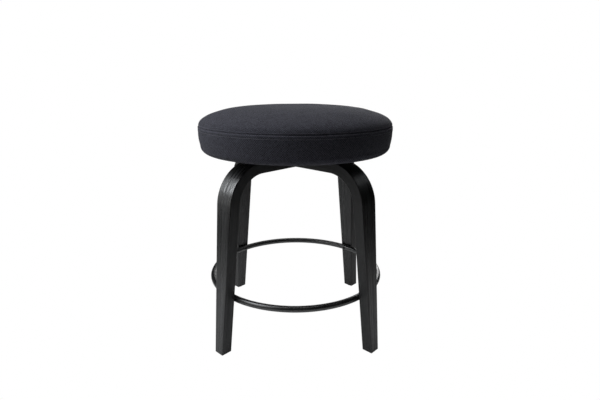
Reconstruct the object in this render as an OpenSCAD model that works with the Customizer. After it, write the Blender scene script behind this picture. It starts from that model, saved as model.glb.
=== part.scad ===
/* [Seat] */
// Diameter of the upholstered seat at its widest
seat_d = 508; // [460:2:560]
// Height of the middle of the seat above the floor
seat_h = 610; // [560:5:760]
// Rise of the crowned top panel above its seam
crown_h = 48; // [25:1:65]
// Height of the side band, from the lower edge to the seam
band_h = 69; // [55:1:90]
// Thickness of the cover cloth with its backing
cover_t = 1.5; // [1:0.1:2.5]
// Radius of the rolled lower edge, outside the edge of the plywood board
roll_r = 20; // [14:1:26]
// Thickness of the plywood board
board_t = 15; // [12:1:18]
// Width of the cover's hem, turned under the board
hem_w = 30; // [20:1:45]
// Thickness of the dust cover cloth
dust_t = 0.8; // [0.5:0.1:1.2]

/* [Legs] */
// Thickness of the bent plywood strip
ply_t = 29; // [21:1:31]
// Width of a leg at the floor
foot_w = 30; // [26:1:36]
// Width of a leg at its bend, and of its arm
bend_w = 54; // [44:1:64]
// Distance between the middles of two opposite feet
foot_spread = 536; // [480:1:560]
// Lean of a leg from upright, in degrees
splay = 5.5; // [3:0.5:8]
// Inside radius of the bend
bend_r = 76; // [55:1:90]
// Radius of the softened long edges
edge_r = 2.5; // [2:0.5:5]
// Height of a glide under a foot
glide_h = 3; // [2:0.5:6]
// Diameter of a glide
glide_d = 22; // [18:1:25]

/* [Foot ring] */
// Outer diameter of the tube
tube_d = 16; // [13:0.5:18]
// Wall of the tube
tube_wall = 2; // [1.5:0.1:2.5]
// Height of the middle of the tube above the floor
ring_z = 145; // [110:1:220]
// Depth of the half-round notch that seats the tube in a leg
notch_depth = 2.5; // [2:0.5:5]

/* [Swivel] */
// Thickness of the pressed plates
plate_t = 2.5; // [2:0.1:3]
// Side of the square lower plate
lower_plate_w = 168; // [160:1:180]
// Side of the square upper plate
upper_plate_w = 150; // [140:1:160]
// Radius of the plates' corners
plate_corner_r = 12; // [8:1:16]
// Diameter of the ball circle
race_d = 90; // [84:1:96]
// Diameter of a ball
ball_d = 7; // [6:0.5:8]
// Number of balls
ball_count = 18; // [12:1:20]
// Outer diameter of the hollow centre rivet
rivet_d = 16; // [14:1:20]
// Wall of the hollow centre rivet
rivet_wall = 2.5; // [2:0.1:3]
// Diameter of the rivet's rolled flanges
flange_d = 25; // [24:1:28]
// Thickness of the rivet's rolled flanges
flange_t = 1.5; // [1:0.1:2]

/* [Fasteners] */
// Diameter of the bolts through the arms and into the seat board
bolt_d = 6; // [5:0.5:6]
// Diameter of the ring screws
screw_d = 5; // [4:0.5:5]

/* [Clearances] */
// Gap between a soft piece and its neighbour
soft_gap = 0.3; // [0.2:0.05:0.4]
// Radial gap of a running fit
run_gap = 0.08; // [0.05:0.01:0.1]
// Radial gap round a shank in its hole
hole_gap = 0.2; // [0.1:0.05:0.3]
// Radial gap in a thread or a pressed fit
thread_gap = 0.05; // [0.03:0.01:0.08]
// Gap between two mitred arms
mitre_gap = 0.4; // [0.3:0.1:1]

/* [Hidden] */

// Directions of the four legs round the upright axis, +Y being the back
AZ_FRONT_LEFT = 225;
AZ_FRONT_RIGHT = 315;
AZ_REAR_LEFT = 135;
AZ_REAR_RIGHT = 45;
LEG_AZ = [AZ_FRONT_LEFT, AZ_FRONT_RIGHT, AZ_REAR_LEFT, AZ_REAR_RIGHT];

// Extra length that a cutting shape runs past the face it cuts
overrun = 1;

// Seat cushion: how far the lower edge and the seam draw in from the widest line
seat_r = seat_d / 2;
low_in = 4;
seam_in = 1.4;
// The dust cover's edge lies this far in from the rolled edge, over the hem
dust_in = 8;
// Height of the widest line, as a share of the straight part of the side band
widest_share = 0.62;
// Shape of the crown: the first flattens its middle, the second rounds its shoulder
crown_flat = 2.8;
crown_round = 2.25;
CROWN_STEPS = 20;
SIDE_STEPS = 8;
ROLL_STEPS = 5;

// Heights, worked out from the crown down to the arms
seam_z = seat_h - crown_h;
cushion_z = seam_z - band_h;
board_z = cushion_z + cover_t + soft_gap;
board_r = seat_r - low_in - roll_r;
upper_plate_z = board_z - plate_t;

// Ball race: a ball stands this far off the flat of either plate, and the raised bead grips it this deep
ball_stand = 0.5;
groove_depth = 1;
ball_r = ball_d / 2;
race_r = race_d / 2;
plate_gap = ball_d + 2 * ball_stand;
bead_h = ball_stand + groove_depth;
bead_w = ball_d + 2 * groove_depth;
ball_z = upper_plate_z - plate_gap / 2;
lower_plate_z = upper_plate_z - plate_gap - plate_t;
arm_top = lower_plate_z;
arm_z = arm_top - ply_t;
// Ball cage: a flat ring at the balls' middle height
cage_t = 1.2;
cage_rim = 2;

// Centre rivet, its nylon washer, and the hole that clears its flange
rivet_r = rivet_d / 2;
flange_r = flange_d / 2;
washer_t = 1;
hub_gap = 2;
hub_hole_r = flange_r + hub_gap;
rivet_top = board_z + washer_t + run_gap;

// Leg strip: the middle line is a leaning straight, an arc and a level arm
foot_r = foot_spread / 2;
mid_r = bend_r + ply_t / 2;
bend_z = arm_z - bend_r;
straight_z = bend_z + mid_r * sin(splay);
straight_r = foot_r - straight_z * tan(splay);
bend_x = straight_r - mid_r * cos(splay);
BEND_STEPS = 14;
CORNER_STEPS = 4;

// Foot ring: its tube lies in the notches of the four inner faces
tube_r = tube_d / 2;
inner_face_r = foot_r - ring_z * tan(splay) - ply_t / 2 / cos(splay);
ring_r = inner_face_r + notch_depth - tube_r - soft_gap / 2;
// Ring screws, from inside the hoop through the tube into an insert in the leg
screw_r = screw_d / 2;
head_r = 4;
head_t = 2.6;
spot_depth = 1.2;
spot_gap = 0.2;
insert_wall = 1.5;
insert_l = 13;
insert_start = 0.5;
screw_l = 22;

// Bolts through the arms, with washers below and clinch nuts above: two an arm, one clear of the ball race and
// one set in from the lower plate's corner
bolt_r = bolt_d / 2;
bolt_head_r = 5.25;
bolt_head_t = 3.3;
washer_r = 8;
arm_washer_t = 1.6;
nut_r = 5.5;
nut_h = 4;
race_clear = 7;
plate_edge = 12;
plate_reach = lower_plate_w / sqrt(2) - plate_corner_r * (sqrt(2) - 1);
ARM_BOLT_R = [race_r + bead_w / 2 + race_clear + nut_r, plate_reach - plate_edge];
head_draft = 0.25;
key_r = 2.2;
key_depth = 1.8;

// Bolts from the upper plate into tee nuts in the seat board
seat_bolt_pitch = 120;
tee_flange_r = 9;
tee_flange_t = 1.5;
tee_wall = 1;
tee_l = 10;
seat_bolt_spare = 1.5;
seat_bolt_l = plate_t + board_t - hole_gap - seat_bolt_spare;

// Glides: a nylon disc with a bevelled edge on a nail
glide_r = glide_d / 2;
glide_edge = 1;
nail_r = 1.3;
nail_head_r = 3;
nail_head_t = 1;
nail_l = 20;
glide_at = foot_r - glide_h * tan(splay);

CIRCLE_FN = 64;
$fn = CIRCLE_FN;

// Half outline of the cushion as [radius, height], drawn in by d all round, from its lower face to its middle
function side_r(u) =
    u < widest_share
        ? seat_r - low_in * pow((widest_share - u) / widest_share, 2)
        : seat_r - seam_in * pow((u - widest_share) / (1 - widest_share), 2);
function cushion_outline(d) = concat(
    [[0, cushion_z + d]],
    [for (i = [0 : ROLL_STEPS])
        let (a = -90 + 90 * i / ROLL_STEPS)
        [side_r(0) - roll_r + (roll_r - d) * cos(a), cushion_z + roll_r + (roll_r - d) * sin(a)]],
    [for (i = [1 : SIDE_STEPS])
        let (u = i / SIDE_STEPS)
        [side_r(u) - d, cushion_z + roll_r + (band_h - roll_r) * u]],
    [for (i = [1 : CROWN_STEPS])
        let (s = 1 - pow(i / CROWN_STEPS, 2))
        [(side_r(1) - d) * s, seam_z + (crown_h - d) * pow(1 - pow(s, crown_flat), 1 / crown_round)]]
);

// Cross-section of the strip as [across the thickness, across the width], with softened corners
function strip_section(w) = [
    for (q = [0 : 3], i = [0 : CORNER_STEPS])
        let (
            a = 90 * (q + i / CORNER_STEPS),
            cx = (q == 0 || q == 3 ? 1 : -1) * (ply_t / 2 - edge_r),
            cy = (q < 2 ? 1 : -1) * (w / 2 - edge_r)
        )
        [cx + edge_r * cos(a), cy + edge_r * sin(a)]
];

// Stations along the strip as [radius, height, angle of its outward face, width], from the floor to the hub
function leg_stations() = concat(
    [[foot_r + ply_t * tan(splay), -ply_t, splay, foot_w - (bend_w - foot_w) * ply_t / straight_z]],
    [for (i = [0 : BEND_STEPS])
        let (a = splay + (90 - splay) * i / BEND_STEPS)
        [bend_x + mid_r * cos(a), bend_z + mid_r * sin(a), a, bend_w]],
    [[-ply_t, arm_z + ply_t / 2, 90, bend_w]]
);

// The whole strip in the plane of its radius, still running through the floor and past the hub
module bent_strip() {
    stations = leg_stations();
    n = 4 * (CORNER_STEPS + 1);
    last = len(stations) - 1;
    points = [
        for (s = stations, p = strip_section(s[3]))
            [s[0] + p[0] * cos(s[2]), p[1], s[1] + p[0] * sin(s[2])]
    ];
    sides = [
        for (k = [0 : last - 1], j = [0 : n - 1])
            let (a = k * n + j, b = k * n + (j + 1) % n)
            [a, b, b + n, a + n]
    ];
    ends = [[for (j = [n - 1 : -1 : 0]) j], [for (j = [0 : n - 1]) last * n + j]];
    polyhedron(points = points, faces = concat(sides, ends), convexity = 6);
}

// A square with round corners
module rounded_square(w, r) {
    square([w, w - 2 * r], center = true);
    square([w - 2 * r, w], center = true);
    for (x = [-1, 1], y = [-1, 1])
        translate([x * (w / 2 - r), y * (w / 2 - r)]) circle(r);
}

// A ring of square section
module washer(r_out, r_in, h) {
    difference() {
        cylinder(r = r_out, h = h);
        translate([0, 0, -overrun]) cylinder(r = r_in, h = h + 2 * overrun);
    }
}

// Places of what repeats
module at_legs() {
    for (az = LEG_AZ) rotate([0, 0, az]) children();
}
module at_arm_bolts() {
    at_legs() for (r = ARM_BOLT_R) translate([r, 0, 0]) children();
}
module at_seat_bolts() {
    for (x = [-1, 1], y = [-1, 1])
        translate([x * seat_bolt_pitch / 2, y * seat_bolt_pitch / 2, 0]) children();
}
module at_balls() {
    for (i = [0 : ball_count - 1])
        rotate([0, 0, 360 * i / ball_count]) translate([race_r, 0, ball_z]) children();
}
// Along a radius at the height of the ring, turned so that +Z points outward, starting at radius r
module at_ring_screw(r) {
    translate([r, 0, ring_z]) rotate([0, 90, 0]) children();
}

// Cover: one closed skin over the foam, with its hem turned in under the board
module seat_cover() {
    color([0.17, 0.17, 0.19])
    rotate_extrude() difference() {
        polygon(cushion_outline(0));
        polygon(cushion_outline(cover_t));
        translate([-overrun, cushion_z - overrun])
            square([overrun + side_r(0) - roll_r - hem_w, 2 * overrun + cover_t]);
    }
}

// Foam: fills the cover and laps over the edge of the board
module seat_foam() {
    color([0.85, 0.83, 0.72])
    rotate_extrude() difference() {
        polygon(cushion_outline(cover_t + soft_gap));
        translate([-overrun, cushion_z])
            square([overrun + board_r + soft_gap, board_z - cushion_z + board_t + soft_gap]);
    }
}

// Seat board: a plywood disc with a breathing hole and four counterbored holes
module seat_board() {
    color([0.72, 0.58, 0.40])
    difference() {
        translate([0, 0, board_z]) cylinder(r = board_r, h = board_t);
        translate([0, 0, board_z - overrun]) cylinder(r = hub_hole_r, h = board_t + 2 * overrun);
        at_seat_bolts() {
            translate([0, 0, board_z - overrun])
                cylinder(r = bolt_r + tee_wall + hole_gap, h = board_t + 2 * overrun);
            translate([0, 0, board_z + board_t - tee_flange_t - hole_gap])
                cylinder(r = tee_flange_r + hole_gap, h = tee_flange_t + hole_gap + overrun);
        }
    }
}

// Tee nuts: a flange let into the top of the board and a barrel down its hole
module seat_tee_nuts() {
    color([0.72, 0.73, 0.74])
    at_seat_bolts() translate([0, 0, board_z + board_t - hole_gap]) mirror([0, 0, 1]) difference() {
        union() {
            cylinder(r = tee_flange_r, h = tee_flange_t);
            cylinder(r = bolt_r + tee_wall, h = tee_l);
        }
        translate([0, 0, -overrun]) cylinder(r = bolt_r + thread_gap, h = tee_l + 2 * overrun);
    }
}

// A bolt standing on its head, with the underside of the head at zero and a six-sided key hole below
module bolt(r, length, r_head, t_head) {
    difference() {
        union() {
            cylinder(r = r, h = length);
            translate([0, 0, -t_head]) cylinder(r1 = r_head - head_draft * t_head, r2 = r_head, h = t_head);
        }
        translate([0, 0, -t_head - overrun]) cylinder(r = key_r, h = key_depth + overrun, $fn = 6);
    }
}

// Seat bolts: up through the upper plate into the tee nuts
module seat_bolts() {
    color([0.55, 0.56, 0.58])
    at_seat_bolts() translate([0, 0, upper_plate_z])
        bolt(bolt_r, seat_bolt_l, bolt_head_r, bolt_head_t);
}

// Dust cover: a thin cloth disc under the board, open round the swivel
module dust_cover() {
    color([0.08, 0.08, 0.08])
    translate([0, 0, cushion_z - soft_gap - dust_t])
        washer(side_r(0) - roll_r - dust_in, upper_plate_w / sqrt(2), dust_t);
}

// One pressed plate lying on its back: a flat square with a raised bead, whose groove holds the balls
module race_plate(w) {
    difference() {
        union() {
            linear_extrude(plate_t) rounded_square(w, plate_corner_r);
            translate([0, 0, plate_t - thread_gap])
                washer(race_r + bead_w / 2, race_r - bead_w / 2, bead_h + thread_gap);
        }
        translate([0, 0, plate_t + plate_gap / 2])
            rotate_extrude() translate([race_r, 0]) circle(ball_r + run_gap);
        translate([0, 0, -overrun])
            washer(race_r + bead_w / 2 - bead_h, race_r - bead_w / 2 + bead_h, bead_h + overrun);
    }
}

// Upper plate: turns with the seat, free on the centre rivet
module swivel_upper_plate() {
    color([0.30, 0.31, 0.33])
    difference() {
        translate([0, 0, board_z]) mirror([0, 0, 1]) race_plate(upper_plate_w);
        translate([0, 0, upper_plate_z - overrun]) cylinder(r = rivet_r + run_gap, h = plate_t + 2 * overrun);
        at_seat_bolts() translate([0, 0, upper_plate_z - overrun])
            cylinder(r = bolt_r + hole_gap, h = plate_t + 2 * overrun);
    }
}

// Lower plate: lies on the four arms and ties them together
module swivel_lower_plate() {
    color([0.30, 0.31, 0.33])
    difference() {
        translate([0, 0, lower_plate_z]) race_plate(lower_plate_w);
        translate([0, 0, lower_plate_z - overrun]) cylinder(r = rivet_r + thread_gap, h = plate_t + 2 * overrun);
        at_arm_bolts() translate([0, 0, lower_plate_z - overrun])
            cylinder(r = bolt_r + hole_gap, h = plate_t + 2 * overrun);
    }
}

// Ball cage: a flat ring with one round pocket a ball
module ball_cage() {
    color([0.62, 0.60, 0.52])
    difference() {
        translate([0, 0, ball_z - cage_t / 2])
            washer(race_r + ball_r + cage_rim, race_r - ball_r - cage_rim, cage_t);
        at_balls() translate([0, 0, -cage_t]) cylinder(r = ball_r + run_gap, h = 2 * cage_t);
    }
}

// Balls: one row
module swivel_balls() {
    color([0.82, 0.83, 0.85])
    at_balls() sphere(ball_r);
}

// Centre rivet: a hollow shank with a rolled flange under the lower plate and one over the washer
module centre_rivet() {
    color([0.60, 0.61, 0.63])
    difference() {
        union() {
            translate([0, 0, lower_plate_z - flange_t]) cylinder(r = flange_r, h = flange_t);
            translate([0, 0, lower_plate_z - flange_t])
                cylinder(r = rivet_r, h = rivet_top - lower_plate_z + 2 * flange_t);
            translate([0, 0, rivet_top]) cylinder(r = flange_r, h = flange_t);
        }
        translate([0, 0, lower_plate_z - flange_t - overrun])
            cylinder(r = rivet_r - rivet_wall, h = rivet_top - lower_plate_z + 2 * flange_t + 2 * overrun);
    }
}

// Thrust washer: nylon, between the upper plate and the rivet's upper flange
module thrust_washer() {
    color([0.90, 0.89, 0.84])
    translate([0, 0, board_z]) washer(flange_r, rivet_r + run_gap, washer_t);
}

// Plan of a leg above its glide: a quarter wedge mitred to its neighbours, with the hub and bolt holes
module leg_plan() {
    difference() {
        polygon([
            [mitre_gap / sqrt(2), 0],
            [foot_spread, foot_spread - mitre_gap / sqrt(2)],
            [foot_spread, mitre_gap / sqrt(2) - foot_spread]
        ]);
        circle(hub_hole_r);
        for (r = ARM_BOLT_R) translate([r, 0]) circle(bolt_r + hole_gap);
    }
}

// Leg: the strip cut to its plan, bored for the ring's insert and the glide's nail, and notched for the ring
module leg(az) {
    color([0.09, 0.09, 0.10])
    rotate([0, 0, az]) difference() {
        intersection() {
            bent_strip();
            translate([0, 0, glide_h]) linear_extrude(arm_top) leg_plan();
        }
        at_ring_screw(ring_r)
            cylinder(r = screw_r + insert_wall + thread_gap, h = tube_r + insert_start + insert_l + hole_gap);
        translate([0, 0, ring_z]) rotate_extrude() translate([ring_r, 0]) circle(tube_r + soft_gap / 2);
        translate([glide_at, 0, glide_h - overrun])
            cylinder(r = nail_r + thread_gap, h = overrun + nail_l - glide_h + hole_gap);
    }
}
module leg_front_left() leg(AZ_FRONT_LEFT);
module leg_front_right() leg(AZ_FRONT_RIGHT);
module leg_rear_left() leg(AZ_REAR_LEFT);
module leg_rear_right() leg(AZ_REAR_RIGHT);

// Arm bolts: from under the arm up into the clinch nuts
module arm_bolts() {
    color([0.20, 0.20, 0.21])
    at_arm_bolts() translate([0, 0, arm_z - arm_washer_t])
        bolt(bolt_r, arm_washer_t + ply_t + plate_t + nut_h, bolt_head_r, bolt_head_t);
}

// Arm washers: between the bolt heads and the wood
module arm_washers() {
    color([0.45, 0.46, 0.48])
    at_arm_bolts() translate([0, 0, arm_z - arm_washer_t]) washer(washer_r, bolt_r + hole_gap, arm_washer_t);
}

// Arm nuts: round clinch nuts standing on the lower plate
module arm_nuts() {
    color([0.66, 0.67, 0.69])
    at_arm_bolts() translate([0, 0, lower_plate_z + plate_t]) washer(nut_r, bolt_r + thread_gap, nut_h);
}

// Foot ring: a hollow hoop with four spot-faced screw holes
module foot_ring() {
    color([0.13, 0.13, 0.14])
    difference() {
        translate([0, 0, ring_z]) rotate_extrude() translate([ring_r, 0]) difference() {
            circle(tube_r);
            circle(tube_r - tube_wall);
        }
        at_legs() {
            at_ring_screw(ring_r - tube_r - overrun)
                cylinder(r = screw_r + hole_gap, h = tube_d + 2 * overrun);
            at_ring_screw(ring_r - tube_r - overrun)
                cylinder(r = head_r + spot_gap, h = overrun + spot_depth);
        }
    }
}

// Ring screws: from inside the hoop
module ring_screws() {
    color([0.16, 0.16, 0.17])
    at_legs() at_ring_screw(ring_r - tube_r + spot_depth) bolt(screw_r, screw_l, head_r, head_t);
}

// Ring inserts: brass sleeves pressed into the legs behind the notch
module ring_inserts() {
    color([0.72, 0.60, 0.32])
    at_legs() at_ring_screw(ring_r + tube_r + insert_start)
        washer(screw_r + insert_wall, screw_r + thread_gap, insert_l);
}

// Glide: a nylon disc with a bevelled lower edge and a countersunk nail hole
module glide(az) {
    color([0.12, 0.12, 0.12])
    rotate([0, 0, az]) translate([glide_at, 0, 0]) difference() {
        union() {
            cylinder(r1 = glide_r - glide_edge, r2 = glide_r, h = glide_edge);
            translate([0, 0, glide_edge]) cylinder(r = glide_r, h = glide_h - glide_edge);
        }
        translate([0, 0, -overrun]) cylinder(r = nail_r + hole_gap, h = glide_h + 2 * overrun);
        translate([0, 0, -overrun]) cylinder(r = nail_head_r + hole_gap, h = overrun + nail_head_t + hole_gap);
    }
}
module glide_front_left() glide(AZ_FRONT_LEFT);
module glide_front_right() glide(AZ_FRONT_RIGHT);
module glide_rear_left() glide(AZ_REAR_LEFT);
module glide_rear_right() glide(AZ_REAR_RIGHT);

// Glide nails: the head sits up inside its glide, clear of the floor
module glide_nails() {
    color([0.62, 0.63, 0.65])
    at_legs() translate([glide_at, 0, hole_gap]) {
        cylinder(r = nail_head_r, h = nail_head_t);
        cylinder(r = nail_r, h = nail_l - hole_gap);
    }
}

seat_cover();
seat_foam();
seat_board();
seat_tee_nuts();
seat_bolts();
dust_cover();
swivel_upper_plate();
swivel_lower_plate();
ball_cage();
swivel_balls();
centre_rivet();
thrust_washer();
leg_front_left();
leg_front_right();
leg_rear_left();
leg_rear_right();
arm_bolts();
arm_washers();
arm_nuts();
foot_ring();
ring_screws();
ring_inserts();
glide_front_left();
glide_front_right();
glide_rear_left();
glide_rear_right();
glide_nails();
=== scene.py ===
from math import cos, hypot, pi, radians, sin, sqrt, tan

import bmesh
import bpy
import numpy as np
from mathutils import Matrix, Vector, noise


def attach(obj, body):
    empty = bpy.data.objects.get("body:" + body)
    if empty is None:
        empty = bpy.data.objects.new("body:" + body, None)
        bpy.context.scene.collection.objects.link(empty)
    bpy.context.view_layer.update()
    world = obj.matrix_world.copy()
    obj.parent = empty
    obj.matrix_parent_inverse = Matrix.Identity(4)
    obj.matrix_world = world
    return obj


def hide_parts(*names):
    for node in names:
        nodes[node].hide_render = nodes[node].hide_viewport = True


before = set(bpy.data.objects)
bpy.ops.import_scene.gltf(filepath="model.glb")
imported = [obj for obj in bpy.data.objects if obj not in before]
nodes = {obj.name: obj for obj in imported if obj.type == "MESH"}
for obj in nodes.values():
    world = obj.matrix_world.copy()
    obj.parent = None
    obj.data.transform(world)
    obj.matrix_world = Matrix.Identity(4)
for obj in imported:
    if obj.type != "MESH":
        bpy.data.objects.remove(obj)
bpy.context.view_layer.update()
MM = 0.001


# Legs. Four strips of thin veneers, glued and pressed round a form into one bend, sawn to a taper, rounded
# along their edges, stained black and sealed with a thin satin coat. Their level arms meet in mitres
# round the hub of the swivel, and each leg is notched inside for the foot ring.
STRIP_T = 29 * MM
FOOT_W = 30 * MM
BEND_W = 54 * MM
FOOT_R = 268 * MM
SPLAY = radians(5.5)
BEND_R = 76 * MM
BEND_TURN = pi / 2 - SPLAY
EDGE_R = 2.5 * MM
FOOT_Z = 3 * MM
FOOT_CHAMFER = 0.8 * MM
FIRST_RING_Z = FOOT_Z + 5 * MM
ARM_Z = 452.8 * MM
ARM_END_R = 30 * MM
HUB_HOLE_R = 14.5 * MM
MITRE_GAP = 0.1 * MM
BOLT_AT = (62 * MM, 101.8 * MM)
BOLT_HOLE_R = 3.2 * MM
RING_Z = 145 * MM
NOTCH_TUBE_R = 8.15 * MM
NOTCH_DEPTH = 2.5 * MM
NOTCH_HALF_TURN = 0.32
INSERT_BORE_R = 4.05 * MM
INSERT_BORE_L = 21.7 * MM
NAIL_BORE_R = 1.35 * MM
NAIL_BORE_L = 17.2 * MM
OVERRUN = 1 * MM
PLY = 1.4 * MM
GRAIN_WANDER = 4 * MM
THROUGH_RATE = 3
GRAIN_SHIFT = Vector((1.7, 0.31))
LEG_AZIMUTHS = {"front_left": 225, "front_right": 315, "rear_left": 135, "rear_right": 45}
LEG_STEPS = 18
BEND_STEPS = 36
ARM_STEPS = 6
CORNER_STEPS = 5
SIDE_STEPS = 4
FACE_STEPS = 12
SHARP = radians(40)
STAIN_BLUISH = (0.0082, 0.0090, 0.0098)
STAIN_BROWNISH = (0.0100, 0.0094, 0.0088)
PORE_BLACK = (0.0010, 0.0010, 0.0011)

MID_R = BEND_R + STRIP_T / 2
BEND_Z = ARM_Z - BEND_R
STRAIGHT_TOP = BEND_Z + MID_R * sin(SPLAY)
BEND_X = FOOT_R - STRAIGHT_TOP * tan(SPLAY) - MID_R * cos(SPLAY)
INNER_FACE_R = FOOT_R - RING_Z * tan(SPLAY) - STRIP_T / 2 / cos(SPLAY)
RING_R = INNER_FACE_R + NOTCH_DEPTH - NOTCH_TUBE_R


def maths(operation, *terms):
    """A Math node on readings and numbers, with a reading among them."""
    finish = next(term.finish for term in terms if isinstance(term, Reading))
    return finish.node("ShaderNodeMath", {"operation": operation}, dict(enumerate(terms)))


class Reading:
    """A number that a material's node puts out. A sum written with it adds its Math nodes."""

    def __init__(self, finish, socket):
        self.finish, self.socket = finish, socket

    def __add__(self, other):
        return maths("ADD", self, other)

    __radd__ = __add__

    def __mul__(self, other):
        return maths("MULTIPLY", self, other)

    __rmul__ = __mul__

    def __sub__(self, other):
        return maths("SUBTRACT", self, other)

    def __rsub__(self, other):
        return maths("SUBTRACT", other, self)

    def __truediv__(self, other):
        return maths("DIVIDE", self, other)

    def __pow__(self, other):
        return maths("POWER", self, other)


class Finish:
    """The material of some of the stool's pieces, built up node by node."""

    def __init__(self, name, **fixed):
        self.material = bpy.data.materials.new(name)
        self.material.use_nodes = True
        self.tree = self.material.node_tree
        self.coat = self.tree.nodes["Principled BSDF"]
        for socket, value in fixed.items():
            self.coat.inputs[socket.replace("_", " ")].default_value = value

    def node(self, kind, settings=None, sockets=None, out=0):
        """Adds a node, makes its settings first and fills its sockets with numbers, colours or readings."""
        made = self.tree.nodes.new(kind)
        for name, value in (settings or {}).items():
            setattr(made, name, value)
        for name, value in (sockets or {}).items():
            self.feed(made.inputs[name], value)
        return Reading(self, made.outputs[out])

    def feed(self, socket, value):
        if isinstance(value, Reading):
            self.tree.links.new(value.socket, socket)
        elif socket.type == "RGBA":
            socket.default_value = (*value, 1)
        else:
            socket.default_value = value

    def place(self):
        """A point's place on the piece, in metres."""
        return self.node("ShaderNodeTexCoord", out=3)

    def flat_place(self, uv_map):
        """The two readings of a piece's own flat map."""
        return self.parts(self.node("ShaderNodeUVMap", {"uv_map": uv_map}))[:2]

    def parts(self, vector):
        """The three readings of a vector."""
        split = self.node("ShaderNodeSeparateXYZ", None, {0: vector})
        return [Reading(self, socket) for socket in split.socket.node.outputs]

    def point(self, x, y, z=0.0):
        return self.node("ShaderNodeCombineXYZ", None, {0: x, 1: y, 2: z})

    def grain(self, vector, scale, detail=2.0, rough=0.5):
        """Soft noise from 0 to 1."""
        sockets = {"Vector": vector, "Scale": scale, "Detail": detail, "Roughness": rough}
        return self.node("ShaderNodeTexNoise", None, sockets)

    def fibres(self, along, across, rates, detail=2.0, rough=0.5, plane=0.0):
        """Soft noise drawn out one way, with a rate of features along it and another across it."""
        return self.grain(self.point(along * rates[0], across * rates[1], plane), 1.0, detail, rough)

    def ramp(self, reading, low, high, to_low=0.0, to_high=1.0):
        """A reading between low and high, spread smoothly between two other numbers."""
        return self.node("ShaderNodeMapRange", {"interpolation_type": "SMOOTHSTEP"},
                         {0: reading, 1: low, 2: high, 3: to_low, 4: to_high})

    def tint(self, share, one, other):
        """A colour between two others."""
        return self.node("ShaderNodeMix", {"data_type": "RGBA"}, {0: share, 6: one, 7: other}, out=2)

    def wear(self, colour, roughness, height, depth):
        """Feeds what varies over the surface to the coat. The height, from 0 to 1, stands for that depth."""
        bump = self.node("ShaderNodeBump", None, {"Strength": 1.0, "Distance": depth, "Height": height})
        for socket, value in (("Base Color", colour), ("Roughness", roughness), ("Normal", bump)):
            self.feed(self.coat.inputs[socket], value)


def piece_of(name, mesh, finish):
    made = bpy.data.objects.new(name, mesh)
    bpy.context.scene.collection.objects.link(made)
    mesh.materials.clear()
    mesh.materials.append(finish.material)
    return made


def settle(piece):
    """Turns a piece's modifiers into its plain mesh."""
    graph = bpy.context.evaluated_depsgraph_get()
    done = piece.evaluated_get(graph)
    mesh = bpy.data.meshes.new_from_object(done, preserve_all_data_layers=True, depsgraph=graph)
    piece.modifiers.clear()
    piece.data = mesh


def face_out(mesh):
    """Turns all of a closed mesh's faces outwards."""
    shape = bmesh.new()
    shape.from_mesh(mesh)
    bmesh.ops.recalc_face_normals(shape, faces=shape.faces)
    shape.to_mesh(mesh)
    shape.free()


def smooth(mesh):
    mesh.shade_smooth()
    mesh.set_sharp_from_angle(angle=SHARP)


def even_shading(piece):
    """Keeps the flat faces flat beside their rounded edges."""
    weighted = piece.modifiers.new("even shading", "WEIGHTED_NORMAL")
    weighted.keep_sharp = True
    settle(piece)


def rod(tool, start, along, radius, length, sides=32):
    """Adds a closed round rod to a cutting tool's mesh."""
    turn = Vector((0, 0, 1)).rotation_difference(Vector(along)).to_matrix().to_4x4()
    middle = Matrix.Translation(Vector(start) + Vector(along) * length / 2)
    bmesh.ops.create_cone(tool, cap_ends=True, segments=sides, radius1=radius, radius2=radius, depth=length,
                          matrix=middle @ turn)


def carve(piece, tool):
    """Cuts a tool's closed shapes out of a piece."""
    mesh = bpy.data.meshes.new("cutting tool")
    tool.to_mesh(mesh)
    tool.free()
    cutter = bpy.data.objects.new("cutting tool", mesh)
    bpy.context.scene.collection.objects.link(cutter)
    cut = piece.modifiers.new("cut", "BOOLEAN")
    cut.operation, cut.solver, cut.object = "DIFFERENCE", "EXACT", cutter
    settle(piece)
    bpy.data.objects.remove(cutter)


def strip_width(z):
    return FOOT_W + (BEND_W - FOOT_W) * min(z, STRAIGHT_TOP) / STRAIGHT_TOP


def strip_section(half_w, inset=0.0):
    """Points round the strip's rounded section, as (through it, across its width, share of side face)."""
    half_t, half_w, radius = STRIP_T / 2 - inset, half_w - inset, EDGE_R - inset
    t, w = half_t - radius, half_w - radius
    points = []
    for k, (ct, cw) in enumerate(((t, w), (-t, w), (-t, -w), (t, -w))):
        for i in range(CORNER_STEPS + 1):
            a = pi / 2 * (k + i / CORNER_STEPS)
            points.append((ct + radius * cos(a), cw + radius * sin(a), sin(a) ** 2))
        if k % 2 == 0:
            edge = cw + (half_w - w) * (1 if cw > 0 else -1)
            points += [(ct - 2 * ct * i / SIDE_STEPS, edge, 1.0) for i in range(1, SIDE_STEPS)]
        else:
            edge = ct + (half_t - t) * (1 if ct > 0 else -1)
            points += [(edge, cw - 2 * cw * i / FACE_STEPS, 0.0) for i in range(1, FACE_STEPS)]
    return points


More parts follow.
